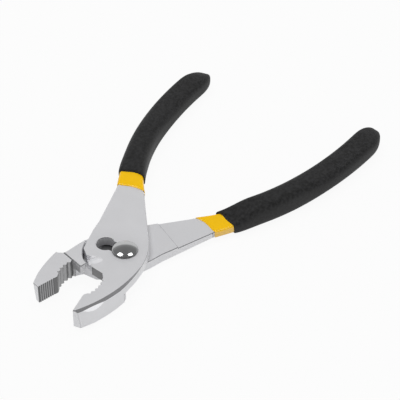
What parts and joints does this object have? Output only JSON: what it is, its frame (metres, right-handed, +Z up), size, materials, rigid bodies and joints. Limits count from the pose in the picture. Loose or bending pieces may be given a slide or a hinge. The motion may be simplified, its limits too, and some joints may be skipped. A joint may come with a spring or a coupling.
{
  "type": "slip joint pliers",
  "caption": "Slip joint pliers with serrated flat grips, a toothed pipe grip, a wire cutter, a two-position sliding pivot and dipped handle grips.",
  "frame": {"origin": "on the pivot axis at the underside of the pivot nut, which lies on the table", "axes": "+Z up along the pivot axis, +Y from the pivot towards the handles along the upper jaw's mating line, +X towards the lower lever's handle"},
  "size_m": [0.1196, 0.1995, 0.0133],
  "materials": {
    "satin_steel": "satin",
    "bright_steel": "bright",
    "yellow_dip": "glossy dipped vinyl",
    "black_dip": "matt dipped vinyl, lightly speckled"
  },
  "bodies": {
    "upper": {"upper_lever": "satin_steel", "upper_sleeve": "yellow_dip", "upper_grip": "black_dip"},
    "slider": {"friction_washer": "bright_steel"},
    "lower": {"lower_lever": "satin_steel", "pivot_bolt": "bright_steel", "pivot_nut": "bright_steel", "lower_sleeve": "yellow_dip", "lower_grip": "black_dip"}
  },
  "joints": [
    {"name": "slip", "type": "slide", "parent": "upper", "child": "slider", "axis": [-0.9949, 0.1011, 0], "range_m": [0, 0.0104]},
    {"name": "pivot", "type": "hinge", "parent": "slider", "child": "lower", "pos_m": [0, 0, 0], "axis": [0, 0, 1], "range_deg": [0, 27.5]}
  ]
}
